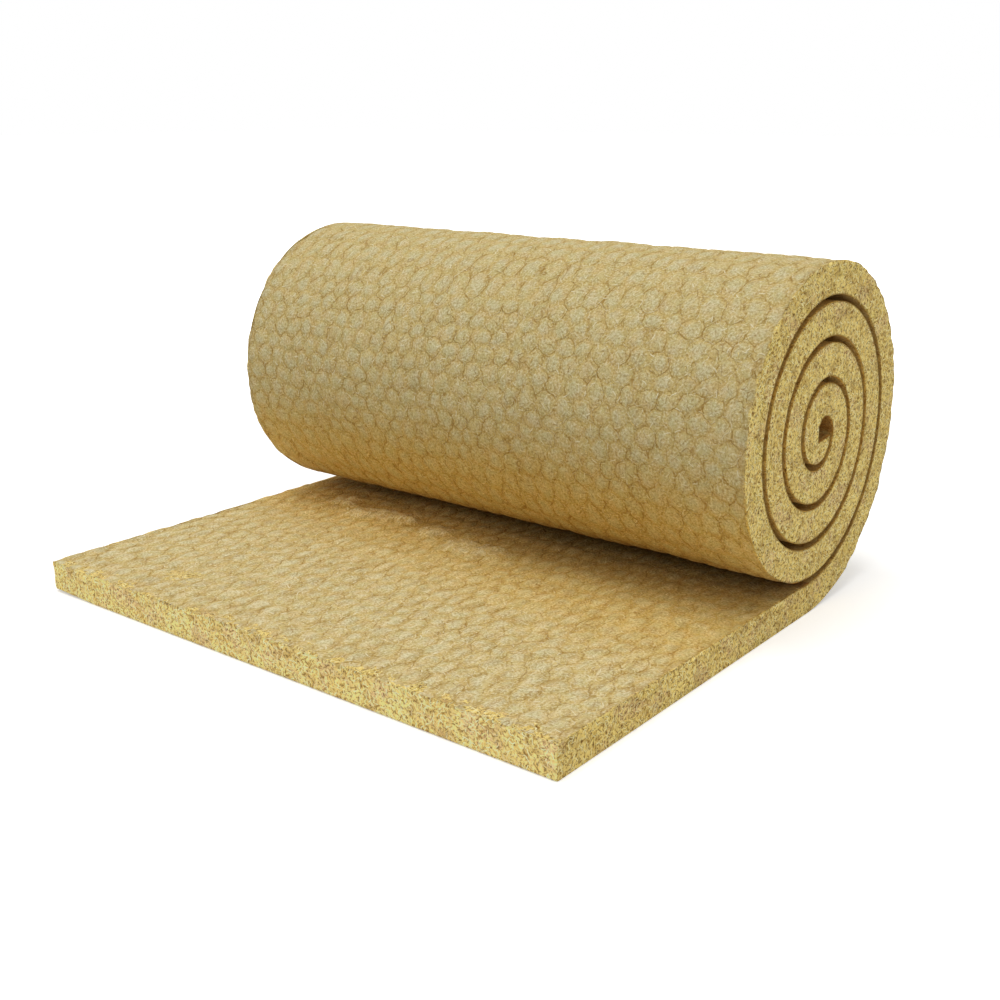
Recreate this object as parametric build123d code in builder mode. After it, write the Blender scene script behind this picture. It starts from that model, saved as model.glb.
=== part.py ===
"""Flexible rock wool mat, wound into a loose roll with its outer end laid out flat on the floor.

Frame: X runs across the mat, along the axis of the roll. Y runs along the mat, from its free front
edge to the back of the roll. Z is up. The origin is on the floor, under the middle of the whole
mat. Sizes are in millimetres.

The wound section is a four-centre spiral: each quarter turn is an arc, and from one quarter to the
next its centre steps round a small square, so the arcs meet tangent and the gap stays the same.
"""

import os

from build123d import *

# Driving dimensions
mat_width = 1000.0  # from one cut side to the other
mat_thickness = 50.0
tongue_length = 660.0  # flat stretch, from the front edge to where the roll begins
turn_gap = 10.0  # between one turn of the roll and the next, open at both ends of the roll
gap_depth = 12.0  # that the gap is open, in from each cut side, to where the turns press together
eye_radius = 17.5  # of the mat's inner face on its last quarter turn, round the eye
quarter_turns = 15  # wound by the inner face, from the floor to the eye
tip_quarter_turns = 2  # that the outer face winds on past them, to the mat's inner end
tip_run = 19.5  # straight stretch of the inner face, from the last quarter turn to the inner end
corner_radius = 5.0  # along the front edge and along the inner end
side_edge_ease = 3.0  # bevel round the cut sides, where the blade has pressed the wool back

# Radii of the quarter turns, from the floor inwards
centre_step = (mat_thickness + turn_gap) / 4
inner_radii = [
    eye_radius + centre_step * (quarter_turns - 1 - quarter) for quarter in range(quarter_turns)
]
outer_radii = [
    inner_radii[0] + mat_thickness - centre_step * quarter
    for quarter in range(quarter_turns + tip_quarter_turns)
]

# Places along Y
overall_length = tongue_length + outer_radii[0]
front_edge_y = -overall_length / 2
roll_start_y = front_edge_y + tongue_length


def wind(start: Edge, radii: list[float]) -> list[Edge]:
    """Draw quarter arcs one after the other, the first tangent to start, and return them."""
    arcs = [start]
    for radius in radii:
        arcs.append(JernArc(arcs[-1] @ 1, arcs[-1] % 1, radius=radius, arc_size=90))
    return arcs[1:]


with BuildPart() as mat:
    # The mat, from its flat front end to its inner end beside the eye
    with BuildSketch(Plane.YZ) as section:
        with BuildLine():
            underside = Line((front_edge_y, 0), (roll_start_y, 0))
            outer_face = wind(underside, outer_radii)
            top_side = Line((front_edge_y, mat_thickness), (roll_start_y, mat_thickness))
            inner_face = wind(top_side, inner_radii)
            inner_face_end = inner_face[-1]
            tip_side = Line(inner_face_end @ 1, inner_face_end @ 1 + inner_face_end % 1 * tip_run)
            tip_end = Line(tip_side @ 1, outer_face[-1] @ 1)
            front_edge = Line(underside @ 0, top_side @ 0)
        make_face()
        soft_corners = [front_edge @ 0, front_edge @ 1, tip_end @ 0, tip_end @ 1]
        fillet(
            [section.vertices().sort_by_distance(corner)[0] for corner in soft_corners],
            radius=corner_radius,
        )
    extrude(amount=mat_width / 2, both=True)
    chamfer(mat.faces().filter_by(Axis.X).edges(), length=side_edge_ease)

    # The turns pressed together between the two open ends, from the middle of the outermost turn
    # to the middle of the innermost one, with the eye left open
    with BuildSketch(Plane.YZ):
        with BuildLine():
            nip = Line((roll_start_y, mat_thickness), (roll_start_y, mat_thickness / 2))
            first_quarter = JernArc(
                nip @ 1, underside % 1, radius=outer_radii[0] - mat_thickness / 2, arc_size=90
            )
            first_turn = wind(first_quarter, [r - mat_thickness / 2 for r in outer_radii[1:4]])
            Line(first_turn[-1] @ 1, nip @ 0)
        make_face()
        eye_across = Line(inner_face[-2] @ 0, inner_face_end @ 1, mode=Mode.PRIVATE)
        with Locations(eye_across @ 0.5):
            Circle(eye_across.length / 2 + mat_thickness / 5, mode=Mode.SUBTRACT)
    extrude(amount=mat_width / 2 - gap_depth, both=True)

mat.part.label = "rock_wool_mat"

os.makedirs("parts", exist_ok=True)
export_step(mat.part, "parts/rock_wool_mat.step")
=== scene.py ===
"""Rock wool mat, wound into a loose roll with its outer end laid out flat: the dressed model.

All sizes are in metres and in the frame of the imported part: X runs across the mat along the axis of
the roll, Y from the free front edge to the back of the roll, and Z is up.
"""

import logging
import math
from collections.abc import Callable
from dataclasses import dataclass, field
from enum import Enum, IntEnum
from functools import partialmethod

import bmesh
import bpy
import numpy as np
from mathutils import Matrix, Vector


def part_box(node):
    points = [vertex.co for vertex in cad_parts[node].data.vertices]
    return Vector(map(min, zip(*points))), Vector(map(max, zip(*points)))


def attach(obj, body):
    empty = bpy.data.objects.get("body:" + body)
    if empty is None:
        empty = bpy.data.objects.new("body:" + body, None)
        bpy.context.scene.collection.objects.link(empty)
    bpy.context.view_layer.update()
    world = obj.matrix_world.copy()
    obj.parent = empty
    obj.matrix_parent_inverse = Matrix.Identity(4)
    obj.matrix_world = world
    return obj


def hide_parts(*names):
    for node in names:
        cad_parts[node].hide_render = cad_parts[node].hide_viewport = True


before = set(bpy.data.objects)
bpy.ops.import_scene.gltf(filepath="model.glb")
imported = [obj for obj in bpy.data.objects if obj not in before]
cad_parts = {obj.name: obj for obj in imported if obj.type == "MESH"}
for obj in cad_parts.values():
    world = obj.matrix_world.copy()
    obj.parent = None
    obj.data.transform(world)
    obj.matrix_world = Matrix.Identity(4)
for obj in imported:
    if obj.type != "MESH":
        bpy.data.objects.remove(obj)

LOG = logging.getLogger("rock_wool_mat")
NODE = "rock_wool_mat"
BODY = "root"
QUARTER = math.pi / 2
TINY = 1e-6  # metres or radians: less than this is nothing
NEAR = 1e-5  # metres: a vert this close to a line or a plane lies on it
SLACK = 1e-4  # metres or radians that a place may lie past the end of a surface
SETTLED_DIGITS = 5  # of a place in metres, when places are put in order

Array = np.ndarray
Material = bpy.types.Material
Node = bpy.types.Node
Outputs = bpy.types.NodeOutputs
Piece = bpy.types.Object
Socket = bpy.types.NodeSocket
Tree = bpy.types.NodeTree
Input = Socket | float | tuple


def paint(red: int, green: int, blue: int) -> tuple[float, float, float, float]:
    """Turn a colour as a screen shows it into the linear colour that a shader takes.

    Args:
        red: Red from 0 to 255.
        green: Green from 0 to 255.
        blue: Blue from 0 to 255.

    Returns:
        The linear colour, with full alpha.
    """
    linear = []
    for part in (red, green, blue):
        share = part / 255
        linear.append(share / 12.92 if share <= 0.04045 else ((share + 0.055) / 1.055) ** 2.4)
    return (*linear, 1.0)


def deselect_all() -> None:
    """Leave nothing selected, so that the next operator acts on the new piece alone."""
    bpy.ops.object.select_all(action="DESELECT")


class Pick(Enum):
    """What a selection in edit mode is made of."""

    VERTS = "VERT"
    EDGES = "EDGE"
    FACES = "FACE"


def pick(piece: Piece, kind: Pick, wanted: Callable[..., bool]) -> None:
    """Select the verts, edges or faces of the piece in edit mode that are wanted.

    Args:
        piece: The piece, in edit mode.
        kind: Which of them are looked at.
        wanted: Tells whether one of them is selected.
    """
    bpy.ops.mesh.select_mode(type=kind.value)
    bpy.ops.mesh.select_all(action="DESELECT")
    shape = bmesh.from_edit_mesh(piece.data)
    parts = {Pick.VERTS: shape.verts, Pick.EDGES: shape.edges, Pick.FACES: shape.faces}[kind]
    chosen = [part for part in parts if wanted(part)]
    for part in chosen:
        part.select_set(True)
    shape.select_flush_mode()
    bmesh.update_edit_mesh(piece.data)


def weld() -> None:
    """Join the verts that lie in one place on the mesh in edit mode, and turn its faces outwards."""
    bpy.ops.mesh.select_all(action="SELECT")
    bpy.ops.mesh.remove_doubles(threshold=TINY)
    bpy.ops.mesh.normals_make_consistent(inside=False)


def read_numbers(
    items: bpy.types.bpy_prop_collection, name: str, wide: int = 1, kind: type = np.float64
) -> Array:
    """Read one property of all the verts, corners or polygons of a mesh.

    Args:
        items: All of them.
        name: The property's name.
        wide: How many numbers each has.
        kind: The kind of number.

    Returns:
        The numbers, in rows where each has more than one.
    """
    numbers = np.empty(len(items) * wide, dtype=kind)
    items.foreach_get(name, numbers)
    return numbers.reshape(-1, wide) if wide > 1 else numbers


class NodeDesk:
    """Lays nodes into one tree, of a shader or of a geometry modifier, and links them."""

    def __init__(self, tree: Tree) -> None:
        """Take the tree that the nodes go into."""
        self.tree = tree

    def add(self, kind: str, **settings: object) -> Node:
        """Add a node and give it its settings.

        Args:
            kind: The node's type.
            settings: Properties of the node by name.

        Returns:
            The new node.
        """
        node = self.tree.nodes.new(kind)
        for name, value in settings.items():
            setattr(node, name, value)
        return node

    def feed(self, socket: Socket, value: Input) -> None:
        """Link another socket into this one, or set it to a plain value.

        Args:
            socket: The socket that is fed.
            value: The other socket, or the plain value.
        """
        if isinstance(value, Socket):
            self.tree.links.new(value, socket)
        else:
            socket.default_value = value

    def feed_all(self, node: Node, inputs: dict[str | int, Input]) -> None:
        """Feed the inputs of a node, by name or number."""
        for name, value in inputs.items():
            self.feed(node.inputs[name], value)

    def wire(self, kind: str, inputs: dict[str | int, Input], **settings: object) -> Outputs:
        """Add a node, give it its settings and feed its inputs.

        Args:
            kind: The node's type.
            inputs: What goes into it, by name or number.
            settings: Properties of the node by name.

        Returns:
            The node's outputs.
        """
        node = self.add(kind, **settings)
        self.feed_all(node, inputs)
        return node.outputs

    def math(self, operation: str, *values: Input) -> Socket:
        """Add a Math node with its inputs in order, and return its result."""
        return self.wire("ShaderNodeMath", dict(enumerate(values)), operation=operation)["Value"]

    plus = partialmethod(math, "ADD")
    minus = partialmethod(math, "SUBTRACT")
    times = partialmethod(math, "MULTIPLY")
    most = partialmethod(math, "MAXIMUM")
    size = partialmethod(math, "ABSOLUTE")

    def vector(self, operation: str, *values: Input, out: str = "Vector") -> Socket:
        """Add a Vector Math node with its inputs in order, and return one of its outputs."""
        inputs = {0: values[0], "Scale": values[1]} if operation == "SCALE" else dict(enumerate(values))
        return self.wire("ShaderNodeVectorMath", inputs, operation=operation)[out]

    def ease(self, value: Input, low: Input, high: Input, start: Input = 0.0, end: Input = 1.0) -> Socket:
        """Step smoothly from start to end as the value goes from low to high."""
        inputs = {"Value": value, "From Min": low, "From Max": high, "To Min": start, "To Max": end}
        return self.wire("ShaderNodeMapRange", inputs, interpolation_type="SMOOTHSTEP")["Result"]

    def mix(self, share: Input, first: Input, second: Input, blend: str = "MIX") -> Socket:
        """Mix a share of the second colour into the first."""
        inputs = {"Factor": share, 6: first, 7: second}
        return self.wire("ShaderNodeMix", inputs, data_type="RGBA", blend_type=blend)[2]

    tint = partialmethod(mix, blend="MULTIPLY")

    def stain(
        self, colour: Input, value: Socket, low: float, high: float, share: float, other: tuple
    ) -> Socket:
        """Mix another colour in, up to a share, as a value goes from low to high."""
        return self.mix(self.ease(value, low, high, 0.0, share), colour, other)

    def noise(
        self, place: Socket, grain: float, detail: float = 2.0, rough: float = 0.5, out: str = "Fac"
    ) -> Socket:
        """Add a flat noise from 0 to 1, whose lumps lie a grain apart, in metres."""
        inputs = {"Vector": place, "Scale": 1 / grain, "Detail": detail, "Roughness": rough}
        return self.wire("ShaderNodeTexNoise", inputs, noise_dimensions="2D")[out]

    def split(self, vector: Socket) -> tuple[Socket, Socket, Socket]:
        """Split a vector into its three parts."""
        return tuple(self.wire("ShaderNodeSeparateXYZ", {0: vector}))

    def shifted(self, place: Socket, across: float, along: float) -> Socket:
        """Read the same pattern elsewhere on the sheet, so that two layers don't coincide."""
        return self.vector("ADD", place, (across, along, 0.0))

    def strayed(self, moved: Socket, place: Socket, reach: float, grain: float, detail: float) -> Socket:
        """Move places about, up to a reach in all, by a noise that is read at place."""
        stray = self.vector("SUBTRACT", self.noise(place, grain, detail, out="Color"), (0.5, 0.5, 0.5))
        return self.vector("ADD", moved, self.vector("MULTIPLY", stray, (reach, reach, 0.0)))

    def group(self, tree: Tree, **values: Input) -> Outputs:
        """Place a shader node group with its inputs by name, and return its outputs."""
        return self.wire("ShaderNodeGroup", values, node_tree=tree)


class Kind(Enum):
    """Kinds of socket on a node group."""

    VECTOR = "NodeSocketVector"
    VALUE = "NodeSocketFloat"
    COLOUR = "NodeSocketColor"
    GEOMETRY = "NodeSocketGeometry"


def new_group(
    name: str, inputs: dict[str, Kind], outputs: dict[str, Kind], tree_kind: str = "ShaderNodeTree"
) -> tuple[NodeDesk, Node, Node]:
    """Start a node group, for shaders unless the kind of tree says otherwise.

    Args:
        name: The group's name.
        inputs: Its inputs and their kinds.
        outputs: Its outputs and their kinds.
        tree_kind: The kind of its tree.

    Returns:
        The desk of its tree, its input node and its output node.
    """
    tree = bpy.data.node_groups.new(name, tree_kind)
    for way, sockets in (("INPUT", inputs), ("OUTPUT", outputs)):
        for label, kind in sockets.items():
            tree.interface.new_socket(label, in_out=way, socket_type=kind.value)
    desk = NodeDesk(tree)
    return desk, desk.add("NodeGroupInput"), desk.add("NodeGroupOutput")


def new_modifier_tree(name: str) -> tuple[NodeDesk, Node, Node]:
    """Start the node tree of a geometry modifier, as a group that takes a mesh and gives one back."""
    mesh = {"Geometry": Kind.GEOMETRY}
    return new_group(name, mesh, mesh, "GeometryNodeTree")


def read_attribute(desk: NodeDesk, name: str, kind: str) -> Socket:
    """Read one of the mesh's own attributes in a modifier's tree."""
    return desk.wire("GeometryNodeInputNamedAttribute", {"Name": name}, data_type=kind)["Attribute"]


def apply_tree(piece: Piece, tree: Tree) -> None:
    """Run a node tree on a piece as a modifier, and apply it to the piece's mesh.

    Args:
        piece: The piece.
        tree: The tree of the modifier.
    """
    deselect_all()
    piece.select_set(True)
    bpy.context.view_layer.objects.active = piece
    modifier = piece.modifiers.new(tree.name, "NODES")
    modifier.node_group = tree
    bpy.ops.object.modifier_apply(modifier=modifier.name)


def settle_order(piece: Piece) -> None:
    """Put a mesh in the order of its places, because a spin and a bevel leave another order on each run.

    Args:
        piece: The object, in object mode, with nothing mapped or stored on its mesh yet.
    """
    mesh = piece.data
    places = read_numbers(mesh.vertices, "co", 3, np.float32)
    order = np.lexsort(np.round(places.astype(float), SETTLED_DIGITS).T)
    rank = np.empty_like(order)
    rank[order] = np.arange(len(order))
    polygons = []
    for polygon in mesh.polygons:
        corners = rank[list(polygon.vertices)].tolist()
        first = corners.index(min(corners))
        polygons.append(corners[first:] + corners[:first])
    mesh.clear_geometry()
    mesh.from_pydata(places[order].tolist(), [], sorted(polygons), shade_flat=False)
    mesh.update()


@dataclass(frozen=True)
class Honeycomb:
    """The honeycomb that the curing belt presses into both faces of the mat."""

    spacing: float = 0.0325  # from one cell to the next, across the mat
    roundness: float = 0.75  # from 0, six straight sides, to 1, a circle
    rows_stray: tuple[float, float] = (0.024, 0.13)  # how far, and over what length
    cells_stray: tuple[float, float] = (0.013, 0.028)
    strands_stray: tuple[float, float] = (0.0050, 0.008)
    drawn_out: tuple[tuple[float, ...], ...] = ((0.0, 0.66, 0.3), (1.38, 0.32, 0.45), (2.0, 0.3, 0.45))
    # stretches where the cells are longer: where each starts along the mat, its length, and how much

    def lay(self, desk: NodeDesk, place: Socket) -> tuple[Socket, Socket, Socket]:
        """Lay the nodes of the honeycomb into a shader or a geometry tree.

        Args:
            desk: The tree's desk.
            place: Place on the sheet, in metres across and along it.

        Returns:
            The distance to the nearest cell border in metres, the middle of the cell, and how far
            to the side of it the place lies; these two are counted in cells.
        """
        moved = place
        for reach, grain in (self.rows_stray, self.cells_stray, self.strands_stray):
            moved = desk.strayed(moved, place, reach, grain, 1.0)
        laid = moved
        for start, length, share in self.drawn_out:
            run = desk.vector("MAXIMUM", desk.vector("SUBTRACT", laid, (0.0, start, 0.0)), (0.0, 0.0, 0.0))
            run = desk.vector("MINIMUM", run, (0.0, length, 0.0))
            moved = desk.vector("SUBTRACT", moved, desk.vector("SCALE", run, share))
        units = desk.vector("MULTIPLY", moved, (1 / self.spacing, 1 / self.spacing, 0.0))
        half = (0.5, math.sqrt(0.75), 1.0)
        lower = (-half[0], -half[1], -half[2])
        first = desk.vector("WRAP", units, half, lower)
        second = desk.vector("WRAP", desk.vector("ADD", units, (half[0], half[1], 0.0)), half, lower)
        nearer = desk.math(
            "LESS_THAN",
            desk.vector("LENGTH", first, out="Value"),
            desk.vector("LENGTH", second, out="Value"),
        )
        choice = {"Factor": nearer, 4: second, 5: first}
        local = desk.wire("ShaderNodeMix", choice, data_type="VECTOR")[1]
        across, along, _ = desk.split(desk.vector("ABSOLUTE", local))
        slanted = desk.plus(desk.times(across, 0.5), desk.times(along, half[1]))
        hexagon = desk.times(desk.most(across, slanted), 1 - self.roundness)
        circle = desk.times(desk.vector("LENGTH", local, out="Value"), self.roundness)
        border = desk.minus(0.5, desk.plus(hexagon, circle))
        centre = desk.vector("SUBTRACT", units, local)
        return desk.times(border, self.spacing), centre, across


@dataclass(frozen=True)
class Tufts:
    """Tufts of wool that the roll has plucked up from the flat stretch, just in front of the nip."""

    places: tuple[tuple[float, float], ...] = (
        (-0.356, 0.527),
        (-0.290, 0.490),
        (-0.246, 0.512),
        (-0.206, 0.518),
        (-0.116, 0.493),
        (-0.029, 0.461),
        (0.021, 0.468),
    )  # across the mat, and along it from the front edge
    reach: float = 0.036
    stray: float = 0.050  # how far the noise pulls their outlines about
    stray_grain: float = 0.018

    def lay(self, desk: NodeDesk, place: Socket) -> Socket:
        """Lay the nodes of the tufts into a shader or a geometry tree.

        Args:
            desk: The tree's desk.
            place: Place on the sheet, in metres across and along it.

        Returns:
            How far the wool is plucked up, from 0 to 1.
        """
        moved = desk.strayed(place, place, self.stray, self.stray_grain, 2.0)
        plucked: Input = 0.0
        for across, along in self.places:
            away = desk.vector("DISTANCE", moved, (across, along, 0.0), out="Value")
            off = desk.math("DIVIDE", away, self.reach)
            plucked = desk.most(plucked, desk.minus(1.0, desk.times(off, off)))
        return plucked


def strands_group() -> Tree:
    """Make the group that scatters short strands of wool over a surface, lying every way.

    Returns:
        The group, with a mask of the strands and a chance tone for each.
    """
    inputs = {"Place": Kind.VECTOR} | dict.fromkeys(("Cell", "Length", "Width", "Shift"), Kind.VALUE)
    desk, given, made = new_group("chopped_strands", inputs, {"Mask": Kind.VALUE, "Tone": Kind.VALUE})
    cell, shift = given.outputs["Cell"], given.outputs["Shift"]
    moved = desk.wire("ShaderNodeCombineXYZ", {0: shift, 1: desk.times(shift, 1.7)})[0]
    scaled = desk.vector("SCALE", given.outputs["Place"], desk.math("DIVIDE", 1.0, cell))
    net = desk.vector("ADD", scaled, moved)
    cells = desk.wire("ShaderNodeTexVoronoi", {"Vector": net, "Scale": 1.0}, voronoi_dimensions="2D")
    lie, bend, tone = desk.wire("ShaderNodeSeparateColor", {0: cells["Color"]})
    turn = {"Vector": desk.vector("SUBTRACT", net, cells["Position"]), "Angle": desk.times(lie, math.tau)}
    along, across, _ = desk.split(desk.wire("ShaderNodeVectorRotate", turn, rotation_type="Z_AXIS")[0])
    bow = desk.times(desk.minus(bend, 0.5), 2.4)
    bowed = desk.plus(across, desk.times(bow, desk.times(along, along)))
    half_width = desk.math("DIVIDE", given.outputs["Width"], desk.times(cell, 2.0))
    half_length = desk.math("DIVIDE", given.outputs["Length"], desk.times(cell, 2.0))
    slim = desk.ease(desk.size(bowed), desk.times(half_width, 0.3), half_width, 1.0, 0.0)
    ends = desk.ease(desk.size(along), desk.times(half_length, 0.6), half_length, 1.0, 0.0)
    desk.feed_all(made, {"Mask": desk.times(slim, ends), "Tone": tone})
    return desk.tree


@dataclass(frozen=True)
class StrandLayer:
    """One scatter of strands: the net they lie on, their size, and how they tint the wool under them."""

    cell: float  # of the net, with one strand in each
    length: float
    width: float
    shift: float  # of the net, in cells, so that no two layers coincide
    tint: tuple
    share: float  # of the tint, in the strongest strand
    faintest: float = 0.15  # strength of the faintest strand, of the strongest's
    lift: float = 0.6  # how much a strand adds to the height

    def strew(
        self, desk: NodeDesk, strands: Tree, place: Socket, colour: Socket, height: Socket
    ) -> tuple[Socket, Socket]:
        """Strew the strands over a colour and a height.

        Args:
            desk: The tree's desk.
            strands: The group that scatters strands.
            place: Place on the sheet.
            colour: The colour under them.
            height: The height under them.

        Returns:
            The colour and the height with them.
        """
        layer = desk.group(
            strands, Place=place, Cell=self.cell, Length=self.length, Width=self.width, Shift=self.shift
        )
        strength = desk.ease(layer["Tone"], 0.1, 0.9, self.faintest * self.share, self.share)
        shown = desk.times(layer["Mask"], strength)
        lifted = desk.plus(height, desk.times(shown, self.lift))
        return desk.mix(shown, colour, self.tint), lifted


def honeycomb_group(honeycomb: Honeycomb) -> Tree:
    """Make the shader group of the honeycomb.

    Args:
        honeycomb: Its sizes.

    Returns:
        The group, with the distance to the nearest cell border, how far to the side of its cell a
        place lies, and a chance tone for each cell.
    """
    outputs = {"Border": Kind.VALUE, "Aside": Kind.VALUE, "Tone": Kind.VALUE}
    desk, given, made = new_group("honeycomb_imprint", {"Place": Kind.VECTOR}, outputs)
    border, centre, aside = honeycomb.lay(desk, given.outputs["Place"])
    inside = desk.vector("ADD", centre, (0.25, 0.25, 0))  # clear of where the snap steps
    snapped = desk.vector("SNAP", inside, (0.5, 0.5, 1))
    tone = desk.wire("ShaderNodeTexWhiteNoise", {"Vector": snapped}, noise_dimensions="2D")["Value"]
    desk.feed_all(made, {"Border": border, "Aside": aside, "Tone": tone})
    return desk.tree


@dataclass(frozen=True)
class CutGrain:
    """The look of wool where a blade has gone through it: strands, pores and patches of binder."""

    straw: tuple = paint(250, 221, 128)
    ochre: tuple = paint(230, 196, 106)
    dusty: tuple = paint(222, 185, 135)
    olive: tuple = paint(206, 181, 83)
    cream: tuple = paint(255, 243, 180)
    light: tuple = paint(255, 231, 144)
    pore: tuple = paint(114, 80, 32)
    shadow: tuple = paint(166, 125, 56)
    smoke: tuple = (0.80, 0.76, 0.74, 1.0)  # tint of the patches with more dust
    painted_light_colour: tuple = (1.20, 1.21, 1.40, 1.0)  # painted light: tint that lightens the wool as if more light fell on it

    def group(self, strands: Tree) -> Tree:
        """Make the shader group of the cut wool.

        Args:
            strands: The group that scatters strands.

        Returns:
            The group, with a colour and a height; its second input says how much painted light lightens the
            colour.
        """
        inputs = {"Place": Kind.VECTOR, "PaintedLight": Kind.VALUE}
        outputs = {"Color": Kind.COLOUR, "Height": Kind.VALUE}
        desk, given, made = new_group("cut_wool_grain", inputs, outputs)
        place, painted_light = given.outputs["Place"], given.outputs["PaintedLight"]
        colour = desk.mix(desk.ease(desk.noise(place, 0.034, 3.0), 0.38, 0.62), self.ochre, self.straw)
        patch = desk.ease(desk.noise(desk.shifted(place, 3.1, 1.7), 0.05, 3.0), 0.52, 0.66)
        colour = desk.mix(desk.times(patch, 0.75), colour, self.dusty)
        patch = desk.ease(desk.noise(desk.shifted(place, 7.3, 4.9), 0.04, 3.0), 0.54, 0.68)
        colour = desk.mix(desk.times(patch, 0.55), colour, self.olive)
        clump = desk.noise(desk.shifted(place, 6.3, 2.1), 0.018, 3.0, 0.6)
        colour = desk.stain(colour, clump, 0.50, 0.30, 0.65, self.shadow)
        grain = desk.noise(desk.shifted(place, 1.3, 8.1), 0.0050, 2.0, 0.65)
        colour = desk.stain(colour, grain, 0.48, 0.30, 0.95, self.pore)
        colour = desk.stain(colour, grain, 0.52, 0.68, 0.9, self.light)
        height = desk.plus(grain, desk.times(clump, 0.8))
        layers = (
            StrandLayer(0.0070, 0.0100, 0.0022, 31.0, self.light, 1.00),
            StrandLayer(0.0075, 0.0105, 0.0024, 0.0, self.shadow, 0.95),
            StrandLayer(0.0080, 0.0110, 0.0022, 13.0, self.light, 1.00),
            StrandLayer(0.0100, 0.0120, 0.0022, 57.0, self.pore, 0.50),
            StrandLayer(0.0085, 0.0100, 0.0021, 71.0, self.cream, 1.00),
            StrandLayer(0.0105, 0.0115, 0.0021, 83.0, self.cream, 1.00),
        )
        for layer in layers:
            colour, height = layer.strew(desk, strands, place, colour, height)
        dust = desk.noise(desk.shifted(place, 5.7, 0.9), 0.028, 3.0, 0.6)
        colour = desk.tint(desk.ease(dust, 0.50, 0.68), colour, self.smoke)
        # painted light: the wool made paler and bluer, as if more light fell on it
        painted_light_colour = desk.tint(1.0, desk.mix(0.08, colour, self.straw), self.painted_light_colour)
        painted_light_colour = desk.mix(1.0, painted_light_colour, paint(255, 255, 255), "DARKEN")
        desk.feed_all(made, {"Color": desk.mix(painted_light, colour, painted_light_colour), "Height": height})
        return desk.tree


def wool_material(name: str) -> tuple[Material, NodeDesk, Node, Socket]:
    """Start a matt wool material.

    Args:
        name: The material's name.

    Returns:
        The material, the desk of its tree, its shader and the place on the mat's own map.
    """
    material = bpy.data.materials.new(name)
    material.use_nodes = True
    shader = material.node_tree.nodes["Principled BSDF"]
    desk = NodeDesk(material.node_tree)
    desk.feed_all(shader, {"Roughness": 0.95, "Specular IOR Level": 0.15})
    sheet = desk.add("ShaderNodeUVMap", uv_map="sheet")
    return material, desk, shader, sheet.outputs["UV"]


def raise_bump(desk: NodeDesk, shader: Node, height: Socket, strength: float, deep: float) -> None:
    """Feed a height into the shader's normal; a height of 1 is that deep, in metres."""
    bump = desk.wire("ShaderNodeBump", {"Strength": strength, "Distance": deep, "Height": height})
    desk.feed(shader.inputs["Normal"], bump["Normal"])


@dataclass(frozen=True)
class CutFace:
    """Finish of a cut side or end of the mat."""

    name: str
    painted_light: float = 0.0  # how much painted light lightens it, from 0 to 1
    painted_gap_shade: tuple = (0.55, 0.50, 0.42, 1.0)  # painted shade: darkens the cut where it turns into a gap
    painted_top_shade: tuple = (0.66, 0.65, 0.64, 1.0)  # painted shade: darkens the lightened front edge where it turns up to the light
    top_shade_heights: tuple[float, float] = (0.0455, 0.0495)

    def build(self, grain: Tree) -> Material:
        """Make the material.

        Args:
            grain: The group of the cut wool.

        Returns:
            The material.
        """
        material, desk, shader, place = wool_material(self.name)
        wool = desk.group(grain, Place=place, PaintedLight=self.painted_light)
        painted_shade = desk.add("ShaderNodeAttribute", attribute_name="painted_shade").outputs["Fac"]
        # painted shade on the cut where it turns into a gap
        colour = desk.tint(desk.ease(painted_shade, 0.35, 0.75), wool["Color"], self.painted_gap_shade)
        _, _, height = desk.split(desk.add("ShaderNodeTexCoord").outputs["Object"])
        # painted shade on the upper rounding of the lightened front edge
        turned = desk.ease(height, *self.top_shade_heights, 0.0, self.painted_light)
        desk.feed(shader.inputs["Base Color"], desk.tint(turned, colour, self.painted_top_shade))
        raise_bump(desk, shader, wool["Height"], 0.5, 0.0018)
        return material


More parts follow.
